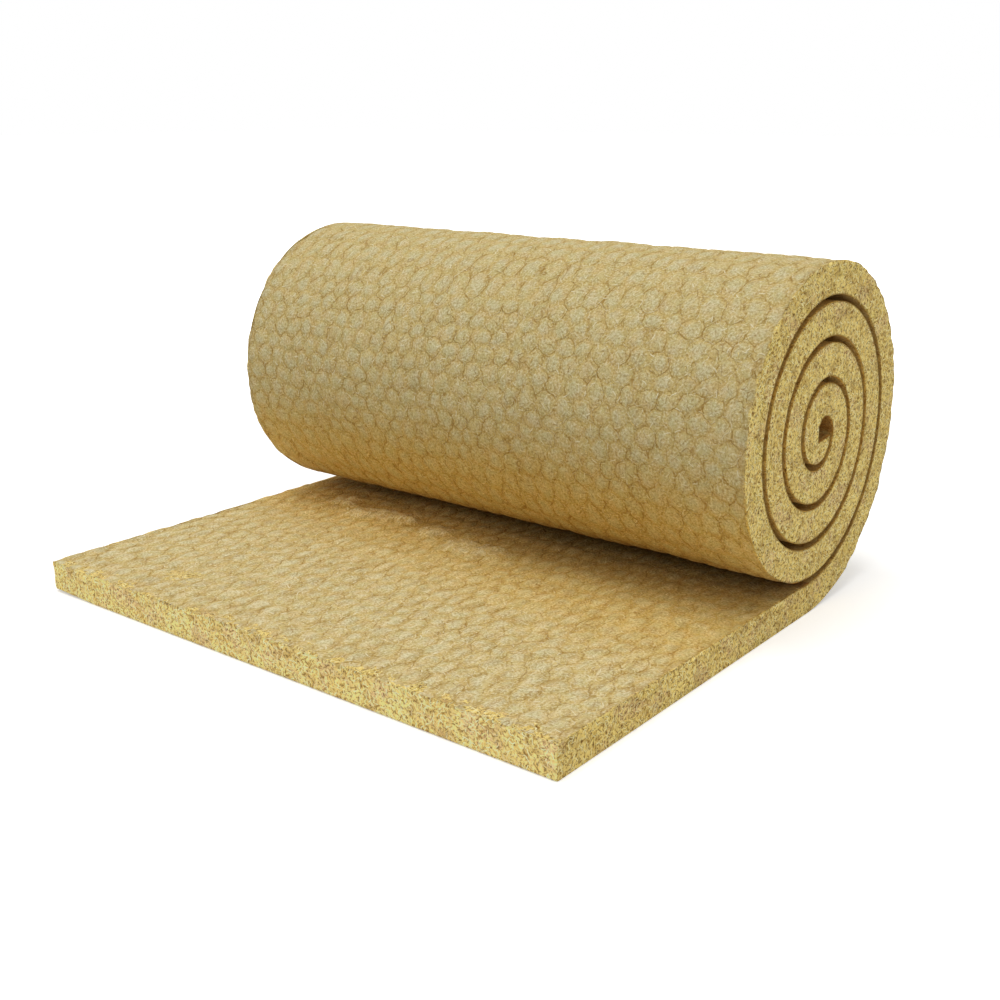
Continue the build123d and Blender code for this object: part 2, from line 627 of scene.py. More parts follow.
@dataclass(frozen=True)
class QuiltedFace:
    """Finish of the mat's two faces: pale wool pressed with a honeycomb that is brown along its creases.

    Where the roll shades the wool, painted shade makes it darker and browner.
    """

    width: float
    tufts: Tufts
    pale: tuple = paint(211, 199, 153)
    warm: tuple = paint(212, 188, 121)
    crease: tuple = paint(158, 119, 50)
    strand: tuple = paint(248, 238, 200)
    shade: tuple = paint(156, 122, 64)
    tuft: tuple = paint(232, 206, 142)
    moss: tuple = paint(198, 190, 134)
    rosy: tuple = paint(220, 186, 134)
    painted_roll_shade: tuple = (0.88, 0.88, 0.87, 1.0)  # painted shade: darkens the roll's outside against the flat stretch
    roll_start: tuple[float, float] = (0.66, 0.72)  # where along the mat that begins
    painted_low_light: tuple = (1.19, 1.14, 1.02, 1.0)  # painted light: lightens the low part of the roll's front
    painted_low_light_start: tuple[float, float] = (1.88, 2.12)  # where along the mat that begins
    painted_nip_light: tuple = (1.42, 1.42, 1.40, 1.0)  # painted light: lightens the plucked wool before the nip, on the left, where the roll shades it
    painted_nip_light_across: tuple[float, float] = (0.14, -0.25)  # where across the mat that begins
    painted_nip_light_along: tuple[float, float] = (0.38, 0.50)
    painted_half_shade: tuple = (0.975, 0.86, 0.595, 1.0)  # painted shade: tint of wool that the roll half shades
    painted_turn_shade: tuple = (0.53, 0.37, 0.25, 1.0)  # painted shade: tint of wool between two turns
    painted_rim_shade: tuple = (0.84, 0.80, 0.74, 1.0)  # painted shade: darkens the faces beside the cut sides, where they round off
    seam_spacing: float = 0.204  # of the belt's seams, which run along the mat
    seam_place: float = 0.112
    seam_sway: float = 0.03
    seam_pair: float = 0.005  # from a seam's middle to each of its two creases
    ring_place: float = 0.0042  # of the faint second crease, in from the first
    ripple_grain: float = 0.013
    ripple_pull: tuple[float, float, float] = (1.0, 0.3, 1.0)  # which draws the ripples out along the mat
    rim_front: float = 0.034  # how far the ragged cut reaches over the front edge
    rim_side: float = 0.0035
    painted_top_shade: tuple = (0.92, 0.92, 0.96, 1.0)  # painted shade: darkens the cut there, which lies flat to the light
    bare_place: tuple[float, float] = (-0.282, 0.092)  # where the pressed skin has rubbed off
    bare_reach: float = 0.06

    def build(self, honeycomb: Tree, strands: Tree, grain: Tree) -> Material:
        """Make the material.

        Args:
            honeycomb: The group of the honeycomb.
            strands: The group that scatters strands.
            grain: The group of the cut wool, which shows where the pressed skin is gone.

        Returns:
            The material.
        """
        material, desk, shader, place = wool_material("quilted_wool")
        comb = desk.group(honeycomb, Place=place)
        plucked = self.tufts.lay(desk, place)
        line = self.creases(desk, place, comb, plucked)
        uneven = desk.ease(desk.noise(desk.shifted(place, 2.0, 3.0), 0.03, 3.0), 0.38, 0.62, 0.35, 1.0)
        middle = desk.times(desk.ease(comb["Border"], 0.0005, 0.009), uneven)
        colour = desk.mix(middle, self.warm, self.pale)
        hue = desk.noise(desk.shifted(place, 7.0, 1.0), 0.022, 3.0)
        colour = desk.stain(colour, hue, 0.50, 0.68, 0.35, self.moss)
        colour = desk.stain(colour, hue, 0.50, 0.32, 0.25, self.rosy)
        colour = desk.mix(desk.times(plucked, 0.3), colour, self.tuft)
        ripple = desk.vector("MULTIPLY", desk.shifted(place, 3.0, 5.0), self.ripple_pull)
        ripple = desk.minus(desk.noise(ripple, self.ripple_grain, 2.0), 0.5)
        across, along, _ = desk.split(place)
        ripple = desk.times(ripple, desk.ease(along, *self.roll_start, 1.0, 0.0))
        # painted shade in the ripples' troughs and painted highlight on their crests, which the bump also
        # raises
        colour = desk.stain(colour, ripple, -0.02, -0.16, 0.30, self.shade)
        colour = desk.stain(colour, ripple, 0.04, 0.18, 0.26, self.strand)
        fine = desk.noise(desk.shifted(place, 4.0, 1.0), 0.0036, 2.0, 0.65)
        colour = desk.stain(colour, fine, 0.47, 0.32, 0.50, self.shade)
        colour = desk.stain(colour, fine, 0.55, 0.70, 0.50, self.strand)
        colour = desk.mix(desk.times(line, 0.8), colour, self.crease)
        pillow = desk.ease(comb["Border"], 0.0, 0.008)
        height = desk.plus(fine, desk.minus(desk.times(pillow, 0.3), line))
        height = desk.math("MULTIPLY_ADD", ripple, 2.0, height)
        layers = (
            StrandLayer(0.0105, 0.0135, 0.0022, 11.0, self.shade, 0.35),
            StrandLayer(0.0140, 0.0150, 0.0022, 23.0, self.strand, 0.35),
            StrandLayer(0.0100, 0.0130, 0.0020, 37.0, self.crease, 0.35),
            StrandLayer(0.0120, 0.0130, 0.0020, 41.0, self.strand, 0.35),
            StrandLayer(0.0300, 0.0110, 0.0024, 61.0, self.strand, 0.80),
        )
        for layer in layers:
            colour, height = layer.strew(desk, strands, place, colour, height)
        edge = desk.minus(self.width / 2, desk.size(across))
        # painted shade beside the cut sides
        colour = desk.tint(desk.ease(edge, 0.0, 0.016, 0.7, 0.0), colour, self.painted_rim_shade)
        wool = desk.group(grain, Place=place, PaintedLight=0.0)
        cut = desk.tint(1.0, wool["Color"], self.painted_top_shade)
        colour = desk.mix(self.bareness(desk, place), colour, cut)
        rolled = desk.ease(along, *self.roll_start)
        # painted shade on the roll's outside
        colour = desk.tint(rolled, colour, self.painted_roll_shade)
        # painted light low on the roll's front
        colour = desk.tint(desk.ease(along, *self.painted_low_light_start), colour, self.painted_low_light)
        # painted light before the nip, on the left
        painted_nip_light = desk.times(desk.ease(across, *self.painted_nip_light_across), desk.ease(along, *self.painted_nip_light_along))
        painted_nip_light = desk.times(painted_nip_light, desk.minus(1.0, rolled))
        colour = desk.tint(painted_nip_light, colour, self.painted_nip_light)
        painted_shade = desk.add("ShaderNodeAttribute", attribute_name="painted_shade").outputs["Fac"]
        # less painted shade on the tufts, which stand up into the light
        painted_shade = desk.times(painted_shade, desk.ease(plucked, 0.0, 0.7, 1.0, 0.4))
        # painted shade, from half to deep
        colour = desk.tint(desk.ease(painted_shade, 0.0, 0.5), colour, self.painted_half_shade)
        colour = desk.tint(desk.ease(painted_shade, 0.5, 1.0), colour, self.painted_turn_shade)
        desk.feed(shader.inputs["Base Color"], colour)
        raise_bump(desk, shader, height, 0.6, 0.0018)
        return material

    def creases(self, desk: NodeDesk, place: Socket, comb: Outputs, plucked: Socket) -> Socket:
        """Draw the brown creases: round the cells, along the belt's seams, and a few stray ones.

        Args:
            desk: The desk of the material's tree.
            place: Place on the sheet.
            comb: The outputs of the honeycomb's group.
            plucked: Where the wool is plucked up, so that no crease is left.

        Returns:
            The creases, from 0 to 1.
        """
        wide = desk.ease(desk.noise(desk.shifted(place, 5.0, 2.0), 0.018, 1.0), 0.35, 0.65, 0.0013, 0.0023)
        line = desk.ease(desk.size(comb["Border"]), 0.0, wide, 1.0, 0.0)
        firm = desk.ease(desk.noise(desk.shifted(place, 9.0, 6.0), 0.026, 2.0), 0.36, 0.60, 0.25, 1.0)
        firm = desk.times(firm, desk.ease(comb["Tone"], 0.0, 1.0, 0.6, 1.0))
        across, along, _ = desk.split(place)
        rolled = desk.ease(along, *self.roll_start)
        least = desk.math("MULTIPLY_ADD", rolled, 0.3, 0.3)
        firm = desk.times(firm, desk.ease(comb["Aside"], 0.08, 0.34, least, 1.0))
        trodden = desk.times(desk.ease(across, 0.0, 0.35, 0.0, 0.6), desk.ease(along, 0.25, 0.45))
        kept = desk.most(rolled, desk.minus(1.0, trodden))
        firm = desk.times(firm, kept)
        ring = desk.size(desk.minus(comb["Border"], self.ring_place))
        line = desk.most(line, desk.ease(ring, 0.0, 0.0014, 0.35, 0.0))
        line = desk.times(line, firm)
        contour = desk.size(desk.minus(desk.noise(desk.shifted(place, 8.0, 3.0), 0.05, 1.5), 0.5))
        stray = desk.ease(contour, 0.001, 0.007, 0.8, 0.0)
        broken = desk.ease(desk.noise(desk.shifted(place, 1.0, 7.0), 0.03, 1.0), 0.45, 0.62)
        line = desk.most(line, desk.times(stray, broken))
        swayed = desk.strayed(place, desk.shifted(place, 6.0, 6.0), self.seam_sway, 0.035, 2.0)
        across, _, _ = desk.split(swayed)
        half = self.seam_spacing / 2
        away = desk.size(desk.math("WRAP", desk.minus(across, self.seam_place), half, -half))
        away = desk.size(desk.minus(away, self.seam_pair))
        seam = desk.times(desk.ease(away, 0.0002, 0.0026, 0.8, 0.0), firm)
        line = desk.most(line, seam)
        return desk.times(line, desk.ease(plucked, 0.05, 0.6, 1.0, 0.1))

    def bareness(self, desk: NodeDesk, place: Socket) -> Socket:
        """Find where the pressed skin is gone: along the ragged rim, and where it has rubbed off.

        Args:
            desk: The desk of the material's tree.
            place: Place on the sheet.

        Returns:
            1 where the skin is gone, and 0 where it is whole.
        """
        across, along, _ = desk.split(place)
        edge = desk.minus(self.width / 2, desk.size(across))
        chance = desk.noise(place, 0.026, 4.0, 0.6)
        ragged = desk.ease(chance, 0.38, 0.68)
        front = desk.minus(along, desk.math("MULTIPLY_ADD", ragged, self.rim_front, -0.006))
        side = desk.minus(edge, desk.math("MULTIPLY_ADD", ragged, self.rim_side, -0.002))
        torn = desk.ease(desk.math("MINIMUM", front, side), 0.0005, 0.005, 1.0, 0.0)
        away = desk.vector("DISTANCE", place, (*self.bare_place, 0.0), out="Value")
        rubbed = desk.noise(desk.shifted(place, 3.0, 9.0), 0.02, 4.0, 0.65)
        rubbed = desk.plus(rubbed, desk.ease(away, 0.0, self.bare_reach, 0.20, -0.3))
        bare = desk.ease(rubbed, 0.50, 0.60, 0.0, 0.85)
        return desk.most(torn, bare)


@dataclass(frozen=True)
class Spiral:
    """The four-centre spiral of the wound section, drawn as the part's source draws it."""

    front_y: float
    thickness: float = 0.05
    tongue: float = 0.66
    gap: float = 0.01
    eye_radius: float = 0.0175
    quarters: int = 15
    tip_quarters: int = 2
    tip_run: float = 0.0195

    @property
    def step(self) -> float:
        """How much the radius shrinks from one quarter turn to the next."""
        return (self.thickness + self.gap) / 4

    @property
    def roll_start(self) -> float:
        """Where the flat stretch ends, along Y."""
        return self.front_y + self.tongue

    def inner_radius(self, quarter: int) -> float:
        """Radius of the mat's inner face on a quarter turn, counted from the floor."""
        return self.eye_radius + self.step * (self.quarters - 1 - quarter)

    def outer_radius(self, quarter: int) -> float:
        """Radius of the mat's outer face on a quarter turn, counted from the floor."""
        return self.inner_radius(quarter) + self.thickness

    def centre(self, quarter: int) -> tuple[float, float]:
        """Find the centre of a quarter turn.

        Args:
            quarter: The quarter turn, counted from the floor.

        Returns:
            Its centre along Y and Z.
        """
        y, z = self.roll_start, self.outer_radius(0)
        for turned in range(quarter):
            angle = QUARTER * turned
            y += self.step * math.cos(angle)
            z += self.step * math.sin(angle)
        return y, z

    def swept(self, quarter: int, y: Array, z: Array) -> Array:
        """Measure the angle of places round a quarter turn's centre, from where that turn starts.

        Args:
            quarter: The quarter turn, counted from the floor.
            y: The places along Y.
            z: The places along Z.

        Returns:
            The angle of each, from half a turn back to half a turn on.
        """
        centre_y, centre_z = self.centre(quarter)
        turned = np.arctan2(z - centre_z, y - centre_y) + QUARTER - quarter * QUARTER
        return (turned + math.pi) % math.tau - math.pi

    def away(self, quarter: int, y: Array, z: Array) -> Array:
        """Measure how far places lie from a quarter turn's centre."""
        centre_y, centre_z = self.centre(quarter)
        return np.hypot(y - centre_y, z - centre_z)

    def on_outside(self, y: Array, z: Array, quarters: int, near: float) -> Array:
        """Find the places on top of the flat stretch or on the outside of the outermost turn.

        Args:
            y: The places along Y.
            z: The places along Z.
            quarters: How many quarter turns the outside has.
            near: How close to these surfaces a place has to be.

        Returns:
            Whether each is on them.
        """
        outside = (y < self.roll_start + near) & (np.abs(z - self.thickness) < near)
        for quarter in range(quarters):
            turned = self.swept(quarter, y, z)
            here = (turned > -SLACK) & (turned < QUARTER + SLACK)
            outside |= here & (np.abs(self.away(quarter, y, z) - self.outer_radius(quarter)) < near)
        return outside

    @property
    def notch(self) -> tuple[float, float]:
        """The inner corner of the mat's inner end, along Y and Z."""
        y, z = self.centre(self.quarters - 1)
        return y - self.eye_radius, z - self.tip_run

    def outer_length(self, quarter: int) -> float:
        """Length along the outer face from the front edge to the start of a quarter turn."""
        return self.tongue + QUARTER * sum(self.outer_radius(turned) for turned in range(quarter))

    def inner_length(self, quarter: int) -> float:
        """Length along the inner face from the front edge to the start of a quarter turn."""
        return self.tongue + QUARTER * sum(self.inner_radius(turned) for turned in range(quarter))


class Surface(IntEnum):
    """The mat's surfaces, in the order of its material slots."""

    QUILTED = 0
    SLIT = 1  # the two sides
    CROSSCUT = 2  # the front edge


def smooth(value: Array, low: float, high: float) -> Array:
    """Step smoothly from 0 to 1 as the value goes from low to high."""
    share = np.clip((value - low) / (high - low), 0.0, 1.0)
    return share * share * (3 - 2 * share)


class Polygons:
    """The polygons of a mesh as arrays: where they lie, how they face, and the corners that they own."""

    def __init__(self, mesh: bpy.types.Mesh) -> None:
        """Read the arrays from the mesh.

        Args:
            mesh: The mesh.
        """
        self.count = len(mesh.polygons)
        self.centres = read_numbers(mesh.polygons, "center", 3)
        self.normals = read_numbers(mesh.polygons, "normal", 3)
        self.verts = read_numbers(mesh.vertices, "co", 3)
        self.corner = read_numbers(mesh.loops, "vertex_index", kind=np.int32)
        totals = read_numbers(mesh.polygons, "loop_total", kind=np.int32)
        self.owner = np.repeat(np.arange(self.count), totals)
        self.places = self.verts[self.corner]

    def touched(self, wanted: Array) -> Array:
        """Find the verts of the polygons that are wanted.

        Args:
            wanted: Whether each polygon is.

        Returns:
            1 for each of these verts, and 0 for the rest.
        """
        mask = np.zeros(len(self.verts))
        mask[self.corner[wanted[self.owner]]] = 1.0
        return mask


@dataclass
class WoundMat:
    """The mat itself: its wound section, widened, softened at the edges and pressed with the honeycomb."""

    spiral: Spiral
    width: float
    honeycomb: Honeycomb
    tufts: Tufts
    cells: int = 10  # through the thickness
    tongue_rows: tuple[int, int] = (19, 6)  # splits of the flat stretch, one inside the other
    columns: tuple[int, int] = (10, 17)  # splits of the faces that show, one inside the other
    shown_row: float = 0.0058  # length of a row on the outermost turn
    hidden_row: float = 0.0075  # length of a row on the turns inside
    shown_quarters: int = 4  # quarter turns whose outside shows
    edge_round: float = 0.0016
    front_round: float = 0.004
    worn_radius: float = 0.018  # of the lower left corner of the front edge
    worn_length: float = 0.09  # along the mat, from there to where the edge is whole again
    pillow: float = 0.0014  # depth of the creases between the cells
    lumps: float = 0.007  # full swing of the noise that raises lumps on the faces
    tear: float = 0.006  # full swing of the noise that roughens the cut sides
    tuft_height: float = 0.010
    least_steps: int = 14  # of a quarter turn
    tip_rows: int = 3  # of the straight run before the tip
    tip_steps: int = 20
    front_sharp: float = 1.0  # radians between the faces at the front edges
    sharp: float = 50.0  # degrees between the faces at any cut edge
    side_facing: float = 0.95  # least part of a cut side's normal that points across the mat
    front_facing: float = 0.6  # least part of the front edge's normal that points forward
    floor_clear: tuple[float, float] = (0.006, 0.022)  # heights over which the relief fades in
    lit: float = 0.16  # how much further along the mat the painted shade begins at the left than at the right
    flat_painted_shade: tuple[float, float] = (0.06, 0.46)  # along the mat, where the painted shade of the roll begins
    deep_painted_shade: tuple[float, float] = (0.60, 0.66)  # along the mat, where the deeper painted shade of the nip begins
    deep_left: float = 0.2  # how far in from the left side the nip's painted shade fades in
    roll_painted_shade: tuple[float, float] = (262.0, 306.0)  # degrees round the roll from its start at the floor, where the painted shade low on its front begins
    # where the deeper painted shade low on the roll's front begins, in the same degrees
    roll_deep_painted_shade: tuple[float, float] = (318.0, 352.0)
    roll_end: float = 361.0  # where the roll meets the flat stretch again
    flat_slack: float = 0.002  # height above the flat stretch that still counts as flat
    eye_shade: float = 0.9  # painted shade of the faces in the eye
    gap_shade: float = 0.75  # painted shade of the faces between two turns
    nip_reach: tuple[float, float] = (0.08, 0.01)  # before the roll, where the relief fades out
    piece: Piece = field(init=False)

    def build(self) -> Piece:
        """Model the mat.

        Returns:
            The finished mesh, with its UV map and without materials.
        """
        self.lay_section()
        self.wind_section()
        self.close_tip()
        self.widen()
        self.soften_edges()
        self.wear_corner()
        settle_order(self.piece)
        self.map_faces()
        self.press_relief()
        return self.piece

    def lay_section(self) -> None:
        """Lay the flat stretch as one strip in the plane of the left cut side."""
        s = self.spiral
        deselect_all()
        bpy.ops.mesh.primitive_plane_add(
            size=s.thickness,
            location=(-self.width / 2, s.front_y + s.thickness / 2, s.thickness / 2),
            rotation=(0, QUARTER, 0),
        )
        self.piece = bpy.context.object
        self.piece.name = "wound_mat"
        self.piece.data.name = "wound_mat"
        bpy.ops.object.transform_apply(location=True, rotation=True, scale=True)
        bpy.ops.object.mode_set(mode="EDIT")
        middle = s.front_y + s.thickness / 2
        pick(self.piece, Pick.VERTS, lambda v: v.co.y > middle)
        bpy.ops.transform.translate(value=(0, s.tongue - s.thickness, 0))
        pick(self.piece, Pick.EDGES, lambda e: abs(e.verts[0].co.z - e.verts[1].co.z) > s.thickness / 2)
        bpy.ops.mesh.subdivide(number_cuts=self.cells - 1)
        for split in self.tongue_rows:
            pick(self.piece, Pick.EDGES, lambda e: abs(e.verts[0].co.y - e.verts[1].co.y) > NEAR)
            bpy.ops.mesh.subdivide(number_cuts=split - 1)

    def wind_section(self) -> None:
        """Wind the strip on, a quarter turn at a time, from the floor to the eye."""
        s = self.spiral
        pick(self.piece, Pick.VERTS, lambda v: v.co.y > s.roll_start - NEAR)
        for quarter in range(s.quarters):
            row = self.shown_row if quarter < self.shown_quarters else self.hidden_row
            steps = max(self.least_steps, round(QUARTER * s.outer_radius(quarter) / row))
            bpy.ops.mesh.spin(
                steps=steps,
                angle=-QUARTER,
                center=(-self.width / 2, *s.centre(quarter)),
                axis=(1, 0, 0),
            )

    def close_tip(self) -> None:
        """Carry the strip down past the eye and swing it round to the mat's square inner end."""
        s = self.spiral
        shape = bmesh.from_edit_mesh(self.piece.data)
        before = len(shape.verts)
        down = (0, 0, -s.tip_run / self.tip_rows)
        for _ in range(self.tip_rows):
            bpy.ops.mesh.extrude_region_move(TRANSFORM_OT_translate={"value": down})
        end_y, end_z = s.centre(s.quarters + 1)
        end_y += s.outer_radius(s.quarters + 1)
        notch_y, notch_z = s.notch
        swing = math.pi + math.atan2(end_z - notch_z, end_y - notch_y)
        hub = (-self.width / 2, notch_y, notch_z)
        bpy.ops.mesh.spin(steps=self.tip_steps, angle=-swing, center=hub, axis=(1, 0, 0))
        shape = bmesh.from_edit_mesh(self.piece.data)
        shape.verts.ensure_lookup_table()
        for vert in shape.verts[before:]:
            self.fit_tip(vert)
        bmesh.update_edit_mesh(self.piece.data)
        bpy.ops.mesh.select_all(action="SELECT")
        bpy.ops.mesh.remove_doubles(threshold=NEAR)

    def fit_tip(self, vert: bmesh.types.BMVert) -> None:
        """Draw a vert of the tip in or out, so that the tip's outer face follows its two last arcs.

        Args:
            vert: The vert, on a row that is a full thickness long.
        """
        s = self.spiral
        notch = Vector(s.notch)
        place = Vector((vert.co.y, vert.co.z))
        root = Vector((notch.x, place.y)) if place.y > notch.y and place.x < notch.x else notch
        reach = place - root
        if reach.length < TINY:
            return
        way = reach.normalized()
        for quarter in (s.quarters, s.quarters + 1):
            centre = Vector(s.centre(quarter))
            radius = s.outer_radius(quarter)
            offset = root - centre
            along = offset.dot(way)
            far = -along + math.sqrt(max(0.0, along * along - offset.length_squared + radius * radius))
            meets = root + way * far
            if quarter == s.quarters and meets.x > centre.x:
                continue
            fitted = root + reach * (far / s.thickness)
            vert.co.y, vert.co.z = fitted
            return

    def widen(self) -> None:
        """Widen the section to the mat's width and split the faces that show into a fine grid."""
        bpy.ops.mesh.select_mode(type="FACE")
        bpy.ops.mesh.select_all(action="SELECT")
        bpy.ops.mesh.extrude_region_move(TRANSFORM_OT_translate={"value": (self.width, 0, 0)})
        bpy.ops.mesh.select_all(action="SELECT")
        bpy.ops.mesh.normals_make_consistent(inside=False)
        longest = self.width
        for split in self.columns:
            shortest = longest * 0.9
            pick(self.piece, Pick.EDGES, lambda e: self.shows(e, shortest))
            bpy.ops.mesh.subdivide(number_cuts=split - 1)
            longest /= split

    def shows(self, edge: bmesh.types.BMEdge, shortest: float) -> bool:
        """Tell whether an edge runs across the mat on a face that shows.

        Args:
            edge: The edge.
            shortest: The least length across the mat that it has to have.

        Returns:
            Whether it is to be split.
        """
        s = self.spiral
        one, other = edge.verts[0].co, edge.verts[1].co
        if abs(one.x - other.x) < shortest:
            return False
        y, z = one.y, one.z
        if y < s.roll_start and z < NEAR:
            return shortest > self.width / 2
        if y < s.front_y + NEAR:
            return True
        return bool(s.on_outside(y, z, self.shown_quarters, NEAR))

    def soften_edges(self) -> None:
        """Round the front edge, and then all the other cut edges a little, as the blade leaves them."""
        front = self.spiral.front_y + NEAR
        pick(
            self.piece,
            Pick.EDGES,
            lambda e: max(v.co.y for v in e.verts) < front and e.calc_face_angle(0.0) > self.front_sharp,
        )
        bpy.ops.mesh.bevel(offset=self.front_round, segments=3, profile=0.5, clamp_overlap=True)
        bpy.ops.mesh.select_mode(type="EDGE")
        bpy.ops.mesh.select_all(action="DESELECT")
        bpy.ops.mesh.edges_select_sharp(sharpness=math.radians(self.sharp))
        bpy.ops.mesh.bevel(offset=self.edge_round, segments=2, profile=0.5, clamp_overlap=True)
        weld()

    def wear_corner(self) -> None:
        """Round off the lower left corner of the front edge, where the mat has been dragged."""
        shape = bmesh.from_edit_mesh(self.piece.data)
        for vert in shape.verts:
            whole = (vert.co.y - self.spiral.front_y) / self.worn_length
            radius = self.worn_radius * (1 - whole)
            centre = Vector((radius - self.width / 2, radius))
            offset = Vector((vert.co.x, vert.co.z)) - centre
            if whole < 1 and max(offset) < 0 and offset.length > radius:
                vert.co.x, vert.co.z = centre + offset.normalized() * radius
        bmesh.update_edit_mesh(self.piece.data)
        bpy.ops.object.mode_set(mode="OBJECT")
        bpy.ops.object.shade_smooth()

    def map_faces(self) -> None:
        """Give each polygon its surface, and map it flat: across and along the mat, or over the cut."""
        s = self.spiral
        mesh = self.piece.data
        polygons = Polygons(mesh)
        centres, owner, places = polygons.centres, polygons.owner, polygons.places
        side = np.abs(polygons.normals[:, 0]) > self.side_facing
        at_front = centres[:, 1] < s.front_y + self.front_round
        cross = ~side & (polygons.normals[:, 1] < -self.front_facing) & at_front
        surface = np.full(polygons.count, int(Surface.QUILTED), dtype=np.int32)
        surface[side] = Surface.SLIT
        surface[cross] = Surface.CROSSCUT
        mesh.polygons.foreach_set("material_index", surface)

        uv = np.stack([places[:, 0], self.along(centres, places, owner)], axis=1)
        flat_side = side[owner]
        uv[flat_side] = places[flat_side][:, 1:]
        flat_cross = cross[owner]
        uv[flat_cross] = places[flat_cross][:, [0, 2]]
        layer = mesh.uv_layers.new(name="sheet")
        layer.data.foreach_set("uv", uv.astype(np.float32).ravel())
        self.note_exposure(polygons, surface)
        mesh.update()

    def note_exposure(self, polygons: Polygons, surface: Array) -> None:
        """Note on each vert how much painted shade it takes where the roll shades it, and where its relief is
        pressed or torn.

        Args:
            polygons: The mat's polygons.
            surface: The surface that each belongs to.
        """
        s = self.spiral
        x, y, z = polygons.verts.T
        quilted = surface == Surface.QUILTED
        _, middle_y, middle_z = polygons.centres.T
        under = (middle_z < s.thickness / 2) & (middle_y < s.roll_start)
        outside = s.on_outside(middle_y, middle_z, self.shown_quarters, 2 * self.edge_round)
        shown = polygons.touched(quilted & outside)
        hidden = polygons.touched(quilted & ~outside & ~under)
        in_eye = s.away(s.quarters - 1, y, z) < 2 * s.eye_radius
        in_front = (y < s.roll_start + SLACK) & (z > s.thickness / 2)
        floor_clear = smooth(z, *self.floor_clear)

        # painted shade: where the roll shades the flat stretch, low on the roll's front, in the nip and
        # between the turns
        flat = in_front & (z < s.thickness + self.flat_slack)
        along = y - s.front_y
        lit = self.lit * (0.5 - x / self.width)
        deep = smooth(along, *self.deep_painted_shade) * smooth(x + self.width / 2, 0.0, self.deep_left)
        on_flat = 0.5 * smooth(along - lit, *self.flat_painted_shade) + 0.5 * deep
        centre_y, centre_z = s.centre(self.shown_quarters - 1)
        turned = np.degrees(np.arctan2(z - centre_z, y - centre_y)) % 360 + 90
        on_roll = 0.5 * smooth(turned, *self.roll_painted_shade) + 0.5 * smooth(turned, *self.roll_deep_painted_shade)
        on_roll = np.where(in_front & ~flat & (turned < self.roll_end), on_roll, 0.0)
        in_gap = np.where(in_eye, self.eye_shade, self.gap_shade)
        painted_shade = np.maximum(np.where(flat, on_flat, on_roll) * shown, in_gap * hidden)

        nip_far, nip_near = self.nip_reach
        clear = 1 - smooth(y, s.roll_start - nip_far, s.roll_start - nip_near)
        nip = np.where(in_front & (z < 3 * s.thickness), clear, 1.0)
        pressed = shown * floor_clear * nip
        torn = polygons.touched(~quilted) * floor_clear * (1 - polygons.touched(quilted))
        for name, values in (("painted_shade", painted_shade), ("pressed", pressed), ("torn", torn)):
            noted = self.piece.data.attributes.new(name, "FLOAT", "POINT")
            noted.data.foreach_set("value", values.astype(np.float32))

    def press_relief(self) -> None:
        """Press the honeycomb into the faces, pluck up the tufts and roughen the cuts."""
        desk, given, made = new_modifier_tree("pressed_relief")
        place = read_attribute(desk, "sheet", "FLOAT_VECTOR")
        border, _, _ = self.honeycomb.lay(desk, place)
        crease = desk.ease(border, 0.0, 0.009, -self.pillow, 0.0)
        broad = desk.minus(desk.noise(desk.shifted(place, 2.0, 5.0), 0.09, 2.0), 0.5)
        tall = self.tuft_height
        fluff = desk.ease(desk.noise(desk.shifted(place, 4.0, 2.0), 0.018, 1.0), 0.3, 0.7, 0.5 * tall, tall)
        tuft = desk.times(self.tufts.lay(desk, place), fluff)
        face = desk.plus(desk.plus(crease, desk.times(broad, self.lumps)), tuft)
        face = desk.times(face, read_attribute(desk, "pressed", "FLOAT"))
        rough = desk.minus(desk.noise(desk.shifted(place, 1.0, 3.0), 0.011, 2.0, 0.6), 0.5)
        cut = desk.times(rough, self.tear)
        cut = desk.times(cut, read_attribute(desk, "torn", "FLOAT"))
        normal = desk.add("GeometryNodeInputNormal").outputs["Normal"]
        offset = desk.vector("SCALE", normal, desk.plus(face, cut))
        move = {"Geometry": given.outputs["Geometry"], "Offset": offset}
        desk.feed(made.inputs["Geometry"], desk.wire("GeometryNodeSetPosition", move)["Geometry"])
        apply_tree(self.piece, desk.tree)

    def along(self, centres: Array, places: Array, owner: Array) -> Array:
        """Measure how far along the mat each corner of each polygon lies, on the polygon's own face.

        Args:
            centres: The polygons' centres.
            places: The places of the corners.
            owner: The polygon that each corner belongs to.

        Returns:
            The length from the front edge for each corner.
        """
        s = self.spiral
        result = places[:, 1] - s.front_y
        y, z = centres[:, 1], centres[:, 2]
        found = np.zeros(len(centres), dtype=bool)
        for quarter in range(s.quarters + s.tip_quarters):
            radius = s.away(quarter, y, z)
            turned = s.swept(quarter, y, z)
            inside = s.outer_radius(quarter) - s.thickness - s.gap / 2
            here = (radius < s.outer_radius(quarter) + s.gap / 2) & (radius > inside) & ~found
            here &= (turned > -TINY) & (turned < QUARTER + TINY)
            if quarter == 0:
                here &= y > s.roll_start
            found |= here
            outer = radius > s.outer_radius(quarter) - s.thickness / 2
            mine = here[owner]
            swept = s.swept(quarter, places[mine][:, 1], places[mine][:, 2])
            on_outer = outer[owner][mine]
            inner_length = s.inner_length(min(quarter, s.quarters))
            result[mine] = np.where(
                on_outer,
                s.outer_length(quarter) + s.outer_radius(quarter) * swept,
                inner_length + max(s.inner_radius(quarter), s.eye_radius) * swept,
            )
        return result


